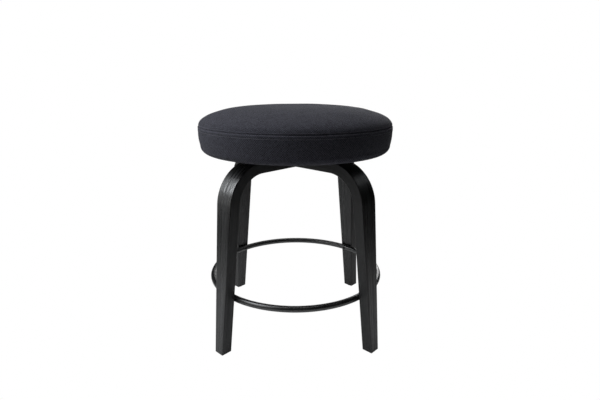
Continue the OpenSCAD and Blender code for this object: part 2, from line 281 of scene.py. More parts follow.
def leg_rings():
    """Rings of points from foot to mitre, as (radius, across, height, length along, through, side face)."""
    rings = []
    for z, inset in ((FOOT_Z, FOOT_CHAMFER), (FOOT_Z + FOOT_CHAMFER, 0.0)):
        rings.append([(FOOT_R - z * tan(SPLAY) + p / cos(SPLAY), q, z, z, p, side)
                      for p, q, side in strip_section(strip_width(z) / 2, inset)])
    rise = STRAIGHT_TOP - FIRST_RING_Z
    stations = [(FIRST_RING_Z + rise * i / LEG_STEPS, SPLAY, 0.0) for i in range(LEG_STEPS)]
    stations += [(STRAIGHT_TOP, SPLAY + BEND_TURN * i / BEND_STEPS, MID_R * BEND_TURN * i / BEND_STEPS)
                 for i in range(BEND_STEPS + 1)]
    for z, face, round_bend in stations:
        if z < STRAIGHT_TOP:
            r, h = FOOT_R - z * tan(SPLAY), z
        else:
            r, h = BEND_X + MID_R * cos(face), BEND_Z + MID_R * sin(face)
        rings.append([(r + p * cos(face), q, h + p * sin(face), z + round_bend, p, side)
                      for p, q, side in strip_section(strip_width(z) / 2)])
    level, along = ARM_Z + STRIP_T / 2, STRAIGHT_TOP + MID_R * BEND_TURN
    section = strip_section(BEND_W / 2)
    for i in range(1, ARM_STEPS + 1):
        r = BEND_X + (ARM_END_R - BEND_X) * i / ARM_STEPS
        rings.append([(r, q, level + p, along + BEND_X - r, p, side) for p, q, side in section])
    last = []
    for p, q, side in section:
        r = max(abs(q) + MITRE_GAP / sqrt(2), sqrt(max(HUB_HOLE_R ** 2 - q * q, 0.0)))
        last.append((r, q, level + p, along + BEND_X, p, side))
    return [*rings, last]


def leg_mesh():
    """One closed leg that leans out along X, with flat maps of its grain and of its layers."""
    rings = leg_rings()
    n = len(rings[0])
    points = [point for ring in rings for point in ring]
    faces = [(k * n + j, k * n + (j + 1) % n, (k + 1) * n + (j + 1) % n, (k + 1) * n + j)
             for k in range(len(rings) - 1) for j in range(n)]
    # Each end is closed by bands between two neighbours of the outer half and their mirror images
    mid = CORNER_STEPS + SIDE_STEPS // 2
    for base in (0, (len(rings) - 1) * n):
        for j in range(mid, mid + n // 2):
            corners = [k % n for k in (j, j + 1, 2 * mid - j - 1, 2 * mid - j)]
            faces.append(tuple(base + k for k in dict.fromkeys(corners)))
    mesh = bpy.data.meshes.new("bent leg")
    mesh.from_pydata([point[:3] for point in points], [], faces)
    grain, plies = mesh.uv_layers.new(name="grain"), mesh.uv_layers.new(name="plies")
    for loop in mesh.loops:
        _, across, _, along, through, side = points[loop.vertex_index]
        grain.data[loop.index].uv = (along, across + THROUGH_RATE * through)
        plies.data[loop.index].uv = (through, side)
    face_out(mesh)
    return mesh


def black_stained_wood():
    """Stained veneers with streaks and pores on their faces, and layers and glue lines on the sawn sides."""
    wood = Finish("black stained wood", Specular_IOR_Level=0.65)
    along, across = wood.flat_place("grain")
    through, side = wood.flat_place("plies")
    side = wood.ramp(side, 0.35, 0.65)
    blotch = wood.fibres(along, across, (6, 75), detail=3.0, rough=0.6)
    across = across + wood.fibres(along, across, (5, 12)) * GRAIN_WANDER
    figure = wood.fibres(along, across, (7, 150), detail=3.0, rough=0.6)
    streaks = wood.fibres(along, across, (18, 560), detail=3.0, rough=0.65)
    pores = wood.ramp(wood.fibres(along, across, (45, 1900)), 0.56, 0.66)
    layer = through / (2 * PLY) + wood.fibres(along, side, (9, 1)) * 0.12
    layer = maths("PINGPONG", layer, 0.5) * 2
    end_grain = wood.ramp(layer, 0.40, 0.60)
    glue = wood.ramp(layer, 0.44, 0.49) * wood.ramp(layer, 0.51, 0.56, to_low=1.0, to_high=0.0)
    face_tone = wood.ramp(figure * 0.45 + streaks * 0.40 + blotch * 0.15 - pores * 0.16, 0.28, 0.70)
    side_tone = end_grain * 0.45 + wood.fibres(along, through, (260, 1400)) * 0.4 - glue * 0.25
    stain = wood.tint(wood.ramp(blotch, 0.35, 0.65), STAIN_BLUISH, STAIN_BROWNISH)
    colour = wood.tint(face_tone * (1 - side) + side_tone * side, PORE_BLACK, stain)
    dull = wood.ramp(wood.fibres(along, across, (4, 190), plane=7.0), 0.36, 0.64)
    face_rough = 0.26 + dull * 0.24 - streaks * 0.08 * (1 - side) + pores * 0.12
    side_rough = 0.08 + end_grain * 0.10
    face_height = streaks * 0.5 + figure * 0.25 - pores * 0.45
    side_height = 0.35 - glue * 0.3 + end_grain * 0.1
    height = face_height * (1 - side) + side * side_height
    wood.wear(colour, face_rough + side * side_rough, height, depth=0.20 * MM)
    return wood


wood = black_stained_wood()
first_leg = piece_of("leg_blank", leg_mesh(), wood)
holes = bmesh.new()
for r in BOLT_AT:
    rod(holes, (r, 0, ARM_Z - OVERRUN), (0, 0, 1), BOLT_HOLE_R, STRIP_T + 2 * OVERRUN)
rod(holes, (RING_R, 0, RING_Z), (1, 0, 0), INSERT_BORE_R, INSERT_BORE_L)
nail_start = (FOOT_R - FOOT_Z * tan(SPLAY), 0, FOOT_Z - OVERRUN)
rod(holes, nail_start, (0, 0, 1), NAIL_BORE_R, NAIL_BORE_L + OVERRUN, sides=16)
carve(first_leg, holes)
notch = bmesh.new()
to_start = Matrix.Rotation(-NOTCH_HALF_TURN, 4, "Z") @ Matrix.Translation((RING_R, 0, RING_Z))
bmesh.ops.create_circle(notch, segments=28, radius=NOTCH_TUBE_R,
                        matrix=to_start @ Matrix.Rotation(pi / 2, 4, "X"))
bmesh.ops.spin(notch, geom=notch.edges[:], angle=2 * NOTCH_HALF_TURN, steps=32, axis=(0, 0, 1),
               cent=(0, 0, 0))
bmesh.ops.holes_fill(notch, edges=notch.edges[:])
bmesh.ops.recalc_face_normals(notch, faces=notch.faces)
carve(first_leg, notch)
smooth(first_leg.data)
even_shading(first_leg)
for number, (corner, azimuth) in enumerate(LEG_AZIMUTHS.items()):
    leg = piece_of(f"bent_leg_{corner}", first_leg.data.copy(), wood)
    leg.data.transform(Matrix.Rotation(radians(azimuth), 4, "Z"))
    for loop in leg.data.uv_layers["grain"].data:
        loop.uv += GRAIN_SHIFT * number
    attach(leg, "base")
    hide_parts(f"leg_{corner}")
bpy.data.objects.remove(first_leg)


# Arm bolts, washers and nuts. Two black socket-head bolts an arm come up through a zinc plated washer and
# the wood into round clinch nuts on the lower plate, so the plate ties the four arms together.
BLACKENED = (0.035, 0.035, 0.037)
ZINC = (0.52, 0.54, 0.56)


def metal(name, colour, rough, tarnish, scale=900.0):
    """A plated, blackened or bare metal, with fine drawn lines and a little tarnish."""
    made = Finish(name, Metallic=1.0)
    place = made.place()
    fine = made.grain(place, scale)
    spread = made.ramp(made.grain(place, 60.0, detail=3.0), 0.3, 0.7)
    tarnished = [c * tarnish for c in colour]
    rough = rough + spread * 0.12 + fine * 0.1
    made.wear(made.tint(spread, colour, tarnished), rough, fine, depth=0.02 * MM)
    return made


def dress(finish, *names):
    """Gives CAD nodes a finish."""
    for name in names:
        mesh = nodes[name].data
        mesh.materials.clear()
        mesh.materials.append(finish.material)


black_steel = metal("blackened steel", BLACKENED, rough=0.34, tarnish=0.7)
zinc = metal("bright zinc", ZINC, rough=0.26, tarnish=0.78)
dress(black_steel, "arm_bolts")
dress(zinc, "arm_washers", "arm_nuts")


# Glides. Round black nylon pads with a bevelled edge, nailed up into the feet so that the wood stays off the
# floor. The moulded nylon is dull, and scuffed where it slides.
NYLON_BLACK = (0.013, 0.013, 0.014)
SCUFFED_BLACK = (0.045, 0.045, 0.046)


def nylon(name, colour, scuffed):
    made = Finish(name, Specular_IOR_Level=0.4)
    place = made.place()
    skin = made.grain(place, 2200.0)
    scuff = made.ramp(made.grain(place, 240.0, detail=4.0, rough=0.7), 0.5, 0.72)
    rough = 0.42 + scuff * 0.25 + skin * 0.1
    made.wear(made.tint(scuff, colour, scuffed), rough, skin - scuff * 0.4, depth=0.03 * MM)
    return made


dress(nylon("black nylon", NYLON_BLACK, SCUFFED_BLACK),
      "glide_front_left", "glide_front_right", "glide_rear_left", "glide_rear_right")
dress(zinc, "glide_nails")


# Foot ring. One round steel tube rolled into a hoop, its ends butt welded and ground flush, powder coated
# glossy black. It lies in the legs' notches, held by a screw a leg from inside the hoop into a brass insert.
TUBE_R = 8 * MM
SPOT_R = 4.2 * MM
SPOT_DEPTH = 1.2 * MM
SPOT_START = 3 * MM
COAT_BLACK = (0.0095, 0.0098, 0.0102)
COAT_RUBBED = (0.0140, 0.0143, 0.0148)
BRASS = (0.62, 0.44, 0.17)


def tree_with(name, **inputs):
    """A new Geometry Nodes tree with named inputs, and its first and last nodes."""
    tree = bpy.data.node_groups.new(name, "GeometryNodeTree")
    tree.interface.new_socket("Geometry", in_out="INPUT", socket_type="NodeSocketGeometry")
    for label, kind in inputs.items():
        tree.interface.new_socket(label.replace("_", " "), in_out="INPUT", socket_type=f"NodeSocket{kind}")
    tree.interface.new_socket("Geometry", in_out="OUTPUT", socket_type="NodeSocketGeometry")
    return tree, tree.nodes.new("NodeGroupInput"), tree.nodes.new("NodeGroupOutput")


def run_tree(piece, tree, **values):
    """Sets a tree's inputs by their identifiers, runs it on a piece and keeps the plain mesh."""
    made = piece.modifiers.new(tree.name, "NODES")
    made.node_group = tree
    sockets = {s.name: s.identifier for s in tree.interface.items_tree if s.in_out == "INPUT"}
    for label, value in values.items():
        made[sockets[label.replace("_", " ")]] = value
    settle(piece)


def hoop_tree():
    """Sweeps a round section along a circle, lifts it to its height and coats it."""
    tree, given, made = tree_with("rolled hoop", Hoop_radius="Float", Tube_radius="Float", Height="Float",
                                  Steps_round="Int", Steps_across="Int", Finish="Material")
    add, join = tree.nodes.new, tree.links.new
    path = add("GeometryNodeCurvePrimitiveCircle")
    section = add("GeometryNodeCurvePrimitiveCircle")
    sweep = add("GeometryNodeCurveToMesh")
    up = add("ShaderNodeCombineXYZ")
    lift = add("GeometryNodeTransform")
    paint = add("GeometryNodeSetMaterial")
    join(given.outputs["Steps round"], path.inputs["Resolution"])
    join(given.outputs["Hoop radius"], path.inputs["Radius"])
    join(given.outputs["Steps across"], section.inputs["Resolution"])
    join(given.outputs["Tube radius"], section.inputs["Radius"])
    join(path.outputs["Curve"], sweep.inputs["Curve"])
    join(section.outputs["Curve"], sweep.inputs["Profile Curve"])
    join(given.outputs["Height"], up.inputs["Z"])
    join(sweep.outputs["Mesh"], lift.inputs["Geometry"])
    join(up.outputs[0], lift.inputs["Translation"])
    join(lift.outputs["Geometry"], paint.inputs["Geometry"])
    join(given.outputs["Finish"], paint.inputs["Material"])
    join(paint.outputs["Geometry"], made.inputs["Geometry"])
    return tree


def powder_coat():
    coat = Finish("glossy black powder coat", Specular_IOR_Level=1.0)
    place = coat.place()
    peel = coat.grain(place, 420.0)
    sparkle = coat.grain(place, 2600.0, detail=1.0)
    rubbed = coat.ramp(coat.grain(place, 22.0, detail=4.0, rough=0.6), 0.48, 0.70)
    rough = 0.28 + sparkle * 0.06 + rubbed * 0.06
    height = peel * 0.8 + sparkle * 0.2
    coat.wear(coat.tint(rubbed, COAT_BLACK, COAT_RUBBED), rough, height, depth=0.03 * MM)
    return coat


hoop_coat = powder_coat()
hoop = piece_of("foot_hoop", bpy.data.meshes.new("hoop"), hoop_coat)
run_tree(hoop, hoop_tree(), Hoop_radius=RING_R, Tube_radius=TUBE_R, Height=RING_Z, Steps_round=224,
         Steps_across=28, Finish=hoop_coat.material)
spots = bmesh.new()
for azimuth in LEG_AZIMUTHS.values():
    outward = Vector((cos(radians(azimuth)), sin(radians(azimuth)), 0))
    start = outward * (RING_R - TUBE_R - SPOT_START) + Vector((0, 0, RING_Z))
    rod(spots, start, outward, SPOT_R, SPOT_START + SPOT_DEPTH)
carve(hoop, spots)
smooth(hoop.data)
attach(hoop, "base")
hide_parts("foot_ring")
dress(black_steel, "ring_screws")
brass = metal("drawn brass", BRASS, rough=0.28, tarnish=0.72)
dress(brass, "ring_inserts")


# Swivel. Two pressed steel plates with a raised bead each, a row of hardened balls in a flat brass cage
# between them, and a hollow rivet through both over a nylon washer. The plates are passivated and greased.
PRESSED = (0.30, 0.31, 0.31)
BALL_STEEL = (0.60, 0.61, 0.62)
NYLON_PALE = (0.62, 0.60, 0.52)
SCUFFED_PALE = (0.70, 0.69, 0.63)

dress(metal("passivated steel plate", PRESSED, rough=0.36, tarnish=0.6, scale=420.0),
      "swivel_upper_plate", "swivel_lower_plate")
dress(metal("greased ball steel", BALL_STEEL, rough=0.10, tarnish=0.9), "swivel_balls")
dress(brass, "ball_cage")
dress(zinc, "centre_rivet", "seat_tee_nuts", "seat_bolts")
dress(nylon("natural nylon", NYLON_PALE, SCUFFED_PALE), "thrust_washer")


# Seat board. A disc of birch plywood that carries the foam, bored for the four tee nuts and for air, with its
# layers bare along the sawn edge. Only its underside shows, round the swivel.
BOARD_R = 230 * MM
BOARD_T = 15 * MM
SAWN_EDGE = (BOARD_R - 1.5 * MM, BOARD_R - 0.5 * MM)
BIRCH_DARK = (0.36, 0.24, 0.13)
BIRCH_PALE = (0.60, 0.46, 0.29)


def birch_ply():
    board = Finish("birch plywood", Specular_IOR_Level=0.3)
    x, y, z = board.parts(board.place())
    figure = board.fibres(x, y, (6, 75), detail=3.0, rough=0.6, plane=z)
    fine = board.fibres(x, y, (30, 900), plane=z)
    layer = maths("PINGPONG", z / (2 * PLY), 0.5) * 2
    edge = board.ramp((x * x + y * y) ** 0.5, *SAWN_EDGE)
    tone = (figure * 0.6 + fine * 0.4) * (1 - edge) + board.ramp(layer, 0.42, 0.58) * edge
    board.wear(board.tint(tone, BIRCH_DARK, BIRCH_PALE), 0.62 + fine * 0.15, fine, depth=0.08 * MM)
    return board


dress(birch_ply(), "seat_board")


# Seat cushion. A thick round of foam, crowned on top and lapped over the board's edge, in a tight cover of
# fine woven cloth: a round top panel and a side band, joined by a seam whose allowance is turned down and
# topstitched. The band rolls under the board and its hem is stapled there.
SEAT_R = 254 * MM
SEAM_Z = 562 * MM
CROWN_H = 48 * MM
BAND_H = 69 * MM
UNDER_Z = SEAM_Z - BAND_H
LOW_IN = 4 * MM
SEAM_IN = 1.4 * MM
ROLL_R = 20 * MM
WIDEST = 0.62
CROWN_FLAT = 2.8
CROWN_ROUND = 2.25
HEM_W = 30 * MM
CLOTH_T = 1.5 * MM
SOFT_GAP = 0.3 * MM


def band_r(u):
    """Radius of the side band from its lower edge, 0, to the seam, 1."""
    if u < WIDEST:
        return SEAT_R - LOW_IN * ((WIDEST - u) / WIDEST) ** 2
    return SEAT_R - SEAM_IN * ((u - WIDEST) / (1 - WIDEST)) ** 2


def crown_z(share):
    return SEAM_Z + CROWN_H * max(1 - share ** CROWN_FLAT, 0.0) ** (1 / CROWN_ROUND)


# The skin's rows of points, close together at the seam and the topstitching
AROUND = 256
TOP_RINGS = AROUND // 8
TOP_SHARE = 0.86
CROWN_ROWS = 18
SEWN_ROWS = 8
SEWN_PITCH = 1.5 * MM
SEWN_HOLD = 0.8
EASE_DOWN = 14.5 * MM
FREE_ROWS = 7
FREE_DOWN = 18 * MM
FREE_PITCH = 4.5 * MM
ROLL_ROWS = 7
HEM_ROWS = 5


def cushion_rows():
    """The half outline outside the flat middle of the top, as (radius, height, share held by the sewing)."""
    rows = []
    for i in range(1, CROWN_ROWS + 1):
        share = TOP_SHARE + (1 - TOP_SHARE) * (1 - (1 - i / CROWN_ROWS) ** 2)
        rows.append((band_r(1) * share, crown_z(share), 0.0 if i < CROWN_ROWS else 1.0))
    straight = BAND_H - ROLL_R
    sewn = [SEWN_PITCH * i for i in range(1, SEWN_ROWS + 1)]
    free = [EASE_DOWN, *(FREE_DOWN + FREE_PITCH * i for i in range(FREE_ROWS)), straight]
    for down, hold in [(down, SEWN_HOLD) for down in sewn] + [(down, 0.0) for down in free]:
        rows.append((band_r(1 - down / straight), SEAM_Z - down, hold))
    rolled = band_r(0) - ROLL_R
    for i in range(1, ROLL_ROWS + 1):
        a = pi / 2 * i / ROLL_ROWS
        rows.append((rolled + ROLL_R * cos(a), UNDER_Z + ROLL_R - ROLL_R * sin(a), i / ROLL_ROWS))
    rows += [(rolled - HEM_W * i / HEM_ROWS, UNDER_Z, 1.0) for i in range(1, HEM_ROWS + 1)]
    inner, over, well = rolled - HEM_W, UNDER_Z + CLOTH_T, BOARD_R + SOFT_GAP
    rows += [(inner, over, 1.0), ((inner + BOARD_R) / 2, over, 1.0), (well, over, 1.0),
             (well, over + SOFT_GAP + BOARD_T / 2, 1.0), (well, over + 2 * SOFT_GAP + BOARD_T, 1.0)]
    return rows


def square_to_round(i, j, rings):
    """A point of a square grid pulled out to a disc of radius 1, so that its squares become circles."""
    x, y = i / rings, j / rings
    if x == 0 and y == 0:
        return 0.0, 0.0
    if abs(x) > abs(y):
        return x * cos(pi / 4 * y / x), x * sin(pi / 4 * y / x)
    return y * sin(pi / 4 * x / y), y * cos(pi / 4 * x / y)


TINY = 0.1 * MM
# Ways below the seam that stand for the middles of the top and of the underside
FAR_ABOVE = -1.0
FAR_BELOW = 0.4


def cushion_mesh():
    """The cushion's closed skin, and the share of each point that the sewing holds."""
    points, held, way, faces = [], [], [], []

    def disc(radius, height, hold, below):
        """Adds a disc of even squares and returns its rim, round from its right."""
        number, k = {}, TOP_RINGS
        for i in range(-k, k + 1):
            for j in range(-k, k + 1):
                x, y = square_to_round(i, j, k)
                number[i, j] = len(points)
                points.append((x * radius, y * radius, height(hypot(x, y))))
                held.append(hold)
                way.append(below)
        faces.extend((number[i, j], number[i + 1, j], number[i + 1, j + 1], number[i, j + 1])
                     for i in range(-k, k) for j in range(-k, k))
        rim = [(k, j) for j in range(-k, k)] + [(i, k) for i in range(k, -k, -1)]
        rim += [(-k, j) for j in range(k, -k, -1)] + [(i, -k) for i in range(-k, k)]
        return [number[corner] for corner in rim]

    def band(one, other):
        for m in range(AROUND):
            after = (m + 1) % AROUND
            faces.append((one[m], other[m], other[after], one[after]))

    last = disc(TOP_SHARE * band_r(1), lambda share: crown_z(TOP_SHARE * share), 0.0, FAR_ABOVE)
    turns = [Vector(points[v][:2]).normalized() for v in last]
    rows = cushion_rows()
    below, from_r, from_z = 0.0, TOP_SHARE * band_r(1), crown_z(TOP_SHARE)
    lengths = []
    for r, z, _ in rows:
        below += hypot(r - from_r, z - from_z)
        lengths.append(below)
        from_r, from_z = r, z
    for (r, z, hold), length in zip(rows, lengths):
        ring = list(range(len(points), len(points) + AROUND))
        points += [(turn.x * r, turn.y * r, z) for turn in turns]
        held += [hold] * AROUND
        way += [length - lengths[CROWN_ROWS - 1]] * AROUND
        band(last, ring)
        last = ring
    low_r, low_z, _ = rows[-1]
    band(last, disc(low_r * TOP_SHARE, lambda share: low_z, 1.0, FAR_BELOW))
    mesh = bpy.data.meshes.new("cushion")
    mesh.from_pydata(points, [], faces)
    mesh.attributes.new("below_seam", "FLOAT", "POINT").data.foreach_set("value", way)
    lay_flat(mesh, points, way)
    return mesh, held


def lay_flat(mesh, points, way, band_v=2, steps=300):
    """Maps the cloth flat: the top panel from its middle out along its crown, the side band as a strip."""
    shares = 1 - (1 - np.linspace(0, 1, steps)) ** 3
    reach, rise = band_r(1) * shares, np.array([crown_z(share) for share in shares])
    drape = np.concatenate([[0.0], np.cumsum(np.hypot(np.diff(reach), np.diff(rise)))])
    weave = mesh.uv_layers.new(name="weave")
    for face in mesh.polygons:
        on_band = min(way[v] for v in face.vertices) > -TINY
        angles = [np.arctan2(points[v][1], points[v][0]) for v in face.vertices]
        wraps = max(angles) - min(angles) > pi
        for loop, v, angle in zip(face.loop_indices, face.vertices, angles):
            x, y, _ = points[v]
            if on_band:
                angle += 2 * pi if wraps and angle < 0 else 0
                weave.data[loop].uv = (angle * SEAT_R, band_v + way[v])
            else:
                flat = np.interp(hypot(x, y), reach, drape) / max(hypot(x, y), TINY)
                weave.data[loop].uv = (x * flat, y * flat)


SWELL_STEPS = 20
SWELL_CAP = 1.6 * MM
FOAM_HOLDS = 0.85


def swell(piece, held):
    """Lets the cloth swell under the foam's pressure, held at its seam and hem. No point moves farther than
    the cap, nor sinks more than a little, because the foam is behind it."""
    scene = bpy.context.scene
    sewn = piece.vertex_groups.new(name="sewn")
    for v, hold in enumerate(held):
        if hold > 0:
            sewn.add([v], hold, "REPLACE")
    cloth = piece.modifiers.new("foam pressure", "CLOTH")
    cloth.settings.quality = 5
    cloth.settings.mass = 0.3
    cloth.settings.tension_stiffness = 60
    cloth.settings.compression_stiffness = 60
    cloth.settings.shear_stiffness = 30
    cloth.settings.bending_stiffness = 6
    cloth.settings.use_pressure = True
    cloth.settings.uniform_pressure_force = 4
    cloth.settings.vertex_group_mass = "sewn"
    cloth.settings.effector_weights.gravity = 0
    cloth.point_cache.frame_start, cloth.point_cache.frame_end = 1, SWELL_STEPS
    before = np.array([v.co for v in piece.data.vertices])
    outward = np.array([v.normal for v in piece.data.vertices])
    for step in range(1, SWELL_STEPS + 1):
        scene.frame_set(step)
    swollen = piece.evaluated_get(bpy.context.evaluated_depsgraph_get()).data
    after = np.array([v.co for v in swollen.vertices])
    piece.modifiers.clear()
    scene.frame_set(1)
    move = after - before
    sunk = np.minimum((move * outward).sum(axis=1, keepdims=True), 0)
    move -= outward * sunk * FOAM_HOLDS
    length = np.linalg.norm(move, axis=1, keepdims=True)
    move *= np.minimum(1.0, SWELL_CAP * np.tanh(length / SWELL_CAP) / np.maximum(length, 1e-9))
    piece.data.vertices.foreach_set("co", (before + move).ravel())


# The seam, its two lips, the allowance folded down behind the band, and the topstitching
SEAM_DEEP = 1.4 * MM
SEAM_W = 1.3 * MM
LIP_OUT = 0.5 * MM
LIP_WAY = 3.0 * MM
LIP_W = 1.5 * MM
FOLD_T = 0.35 * MM
FOLD_TOP = 1.2 * MM
FOLD_END = 12.2 * MM
FOLD_EASE = 1.6 * MM
STITCH_WAY = 9.5 * MM
STITCH_DEEP = 0.7 * MM
STITCH_W = 0.9 * MM

YARN = 0.9 * MM
YARNS_OVER = 3
SLUB_ACROSS = 7.3
SLUB_ALONG = 0.12
CLOTH_DARK = (0.0072, 0.0072, 0.0096)
CLOTH_PALE = (0.121, 0.121, 0.151)
# Span from each lip's middle over which the painted highlight fades out
LIP_HIGHLIGHT_SPAN = (0.4 * MM, 2.0 * MM)


def woven_cloth():
    """A basket weave, each square and yarn dyed a little differently, each yarn painted darker where it dips
    under the next as painted shade, and painted paler along the seam's lips as a painted highlight.
    """
    cloth = Finish("charcoal woven cloth", Sheen_Weight=0.06, Sheen_Roughness=0.4, Specular_IOR_Level=0.12)
    u, v = cloth.flat_place("weave")
    u, v = u / YARN, v / YARN

    def hump(value):
        return maths("ABSOLUTE", maths("SINE", value * pi))

    yarn_u, yarn_v = maths("FLOOR", u), maths("FLOOR", v)
    square_u, square_v = maths("FLOOR", u / YARNS_OVER), maths("FLOOR", v / YARNS_OVER)
    over = maths("PINGPONG", square_u + square_v, 1.0)
    warp, weft = hump(u) * hump(v / YARNS_OVER) ** 0.4, hump(v) * hump(u / YARNS_OVER) ** 0.4
    height = over * warp + (1 - over) * weft
    slub_u = cloth.fibres(yarn_u, v, (SLUB_ACROSS, SLUB_ALONG), detail=3.0)
    slub_v = cloth.fibres(u, yarn_v, (SLUB_ALONG, SLUB_ACROSS), detail=3.0, plane=40.0)
    slub = over * slub_u + (1 - over) * slub_v
    dye = cloth.node("ShaderNodeTexWhiteNoise", {"noise_dimensions": "2D"},
                     {"Vector": cloth.point(square_u, square_v)})
    cloud = cloth.grain(cloth.place(), 26.0, detail=4.0, rough=0.6)
    fuzz = cloth.grain(cloth.place(), 1700.0)
    seam = cloth.node("ShaderNodeAttribute", {"attribute_name": "below_seam"}, out=2)
    from_lip = maths("ABSOLUTE", maths("ABSOLUTE", seam) - LIP_WAY)
    # The cloth is painted paler along the seam's two lips: a painted highlight where the lips catch the light
    painted_lip_highlight = cloth.ramp(from_lip, *LIP_HIGHLIGHT_SPAN, to_low=1.0, to_high=0.0)
    tone = dye * 0.26 + cloth.ramp(slub, 0.3, 0.7) * 0.40 + over * 0.38 + cloud * 0.08 - 0.05 + painted_lip_highlight * 0.30
    # Each yarn is painted darker where it dips under the next: painted shade in the hollows of the weave
    colour = cloth.tint(tone * (0.35 + height * 0.65), CLOTH_DARK, CLOTH_PALE)
    rough = 0.84 + fuzz * 0.1 - height * 0.06
    cloth.wear(colour, rough, height * 0.85 + fuzz * 0.15, depth=0.25 * MM)
    return cloth


# Small gathers beside the seam, a slow creep of the band and crown, and pleats in the hem
GATHER_OUT = 0.30 * MM
GATHER_WAY = 9 * MM
GATHER_W = 8 * MM
CREEP_OUT = 0.5 * MM
CREEP_WAY = 30 * MM
CREEP_W = 16 * MM
CREEP_TOP_W = 22 * MM
CREEP_TOP_SHARE = 0.6
PLEAT_OUT = 0.25 * MM
PLEAT_IN = 0.1 * MM
PLEAT_REACH = 0.6 * MM
MOVED_FROM_Z = UNDER_Z + 0.5 * MM
MOVED_FROM_R = BOARD_R + 2 * MM


def sew(piece):
    """Draws in the seam, raises its two lips and the turned-down allowance and adds the small gathers."""
    mesh = piece.data
    count = len(mesh.vertices)
    at, normal, way = np.zeros(count * 3), np.zeros(count * 3), np.zeros(count)
    mesh.vertices.foreach_get("co", at)
    mesh.vertices.foreach_get("normal", normal)
    mesh.attributes["below_seam"].data.foreach_get("value", way)
    at, normal = at.reshape(-1, 3), normal.reshape(-1, 3)
    turn = np.arctan2(at[:, 1], at[:, 0])
    outside = (at[:, 2] > MOVED_FROM_Z) & (np.hypot(at[:, 0], at[:, 1]) > MOVED_FROM_R)
    outside |= at[:, 2] > SEAM_Z - BAND_H / 2

    def bump_at(middle, width):
        return np.exp(-((way - middle) / width) ** 2)

    def ripple(seed, waves):
        return sum(np.sin(turn * n + seed * n * 1.7) * a for n, a in waves)

    gather = ripple(1.0, ((23, 0.30), (31, 0.35), (47, 0.35), (61, 0.25)))
    creep = ripple(2.3, ((2, 0.5), (3, 0.4), (5, 0.3)))
    pleats = ripple(0.6, ((58, 0.5), (71, 0.4), (83, 0.3)))
    fold = np.clip((way - FOLD_TOP) / FOLD_TOP, 0, 1) * np.clip((FOLD_END - way) / FOLD_EASE, 0, 1)
    move = FOLD_T * fold - SEAM_DEEP * bump_at(0.0, SEAM_W)
    move -= STITCH_DEEP * bump_at(STITCH_WAY, STITCH_W)
    move += LIP_OUT * (bump_at(LIP_WAY, LIP_W) + bump_at(-LIP_WAY, LIP_W))
    move += GATHER_OUT * gather * (bump_at(GATHER_WAY, GATHER_W) + bump_at(-GATHER_WAY, GATHER_W))
    creeping = bump_at(CREEP_WAY, CREEP_W) + CREEP_TOP_SHARE * bump_at(-CREEP_WAY, CREEP_TOP_W)
    move += CREEP_OUT * creep * creeping
    at += normal * (move * outside)[:, None]
    under = (at[:, 2] < UNDER_Z + PLEAT_REACH) & (np.hypot(at[:, 0], at[:, 1]) < band_r(0))
    at[:, 2] += under * (PLEAT_OUT * pleats - PLEAT_IN)
    mesh.vertices.foreach_set("co", at.ravel())
    mesh.update()


# How far inside its full shape the cover starts, before the foam's pressure swells it
CROWN_SLACK = 0.6 * MM
BAND_SLACK = 0.5 * MM
SLACK_WAVES = 14


def cushion_piece():
    """The whole cushion: its skin drawn in a little, swollen, rounded once more and sewn."""
    mesh, held = cushion_mesh()
    cushion = piece_of("cushion", mesh, woven_cloth())
    shape = bmesh.new()
    shape.from_mesh(mesh)
    bmesh.ops.recalc_face_normals(shape, faces=shape.faces)
    for v in shape.verts:
        if held[v.index] == 0:
            on_top = v.co.z > SEAM_Z
            slack = CROWN_SLACK + CROWN_SLACK * noise.noise(v.co * SLACK_WAVES) if on_top else BAND_SLACK
            v.co -= v.normal * slack
    shape.to_mesh(mesh)
    shape.free()
    swell(cushion, held)
    finer = cushion.modifiers.new("finer", "SUBSURF")
    finer.levels = finer.render_levels = 1
    settle(cushion)
    cushion.vertex_groups.clear()
    sew(cushion)
    cushion.data.shade_smooth()
    return cushion


cushion = cushion_piece()
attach(cushion, "seat")
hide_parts("seat_cover", "seat_foam")


# Topstitching. A lockstitch, 9.5 mm under the seam, through the side band and the seam allowance behind it,
# so that the band lies flat below the seam. The thread is painted paler than the cloth: partly its own tone,
# partly a painted highlight along the stitch line.
STITCH_L = 3.5 * MM
STITCH_PITCH = 4.4 * MM
THREAD_R = 0.5 * MM
# Both thread tones are paler than the cloth, partly the thread's own tone and partly a painted highlight
# along the stitch line
THREAD_DARK = (0.095, 0.096, 0.112)
THREAD_PALE = (0.200, 0.202, 0.230)
NEAR_STITCH = 2.2 * MM
NEAR_TURN = 0.012
PATH_STEPS = 720


